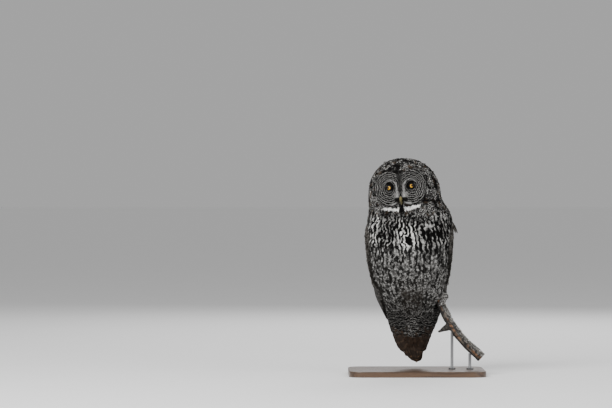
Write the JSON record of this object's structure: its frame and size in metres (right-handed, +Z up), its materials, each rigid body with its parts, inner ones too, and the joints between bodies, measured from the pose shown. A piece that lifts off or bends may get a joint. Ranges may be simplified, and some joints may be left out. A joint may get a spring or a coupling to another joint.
{
  "type": "great grey owl, still model on a stand",
  "caption": "Still life-size great grey owl, upright on a cut branch, wings folded, held over a flat base by short rods.",
  "frame": {"origin": "middle of the underside of the stand's base, on the surface it stands on", "axes": "+Z up; the owl's breast faces -Y, its own left side is +X, where the branch leaves it"},
  "size_m": [0.4307, 0.28, 0.687],
  "materials": {
    "plumage": "soft grey feathers, barred and streaked with blackish brown and white",
    "flight_feathers": "close dark brown-grey vanes with paler bars",
    "bill": "smooth olive-yellow horn",
    "claw": "smooth black horn",
    "eye": "wet yellow iris with a black pupil",
    "bark": "rough weathered bark, paler along its upper side",
    "stand_wood": "satin dark wood",
    "stand_steel": "brushed steel"
  },
  "bodies": {
    "root": {"head": "plumage", "neck": "plumage", "trunk": "plumage", "tail_coverts": "plumage", "tail": "flight_feathers", "wing_left": "flight_feathers", "wing_right": "flight_feathers", "leg_left": "plumage", "leg_right": "plumage", "foot_left": "plumage", "foot_right": "plumage", "claw_left_1": "claw", "claw_left_2": "claw", "claw_left_3": "claw", "claw_left_4": "claw", "claw_right_1": "claw", "claw_right_2": "claw", "claw_right_3": "claw", "claw_right_4": "claw", "eye_left": "eye", "eye_right": "eye", "bill_upper": "bill", "bill_lower": "bill", "perch_branch": "bark", "stand_base": "stand_wood", "stand_rod_1": "stand_steel", "stand_rod_2": "stand_steel"}
  },
  "joints": []
}
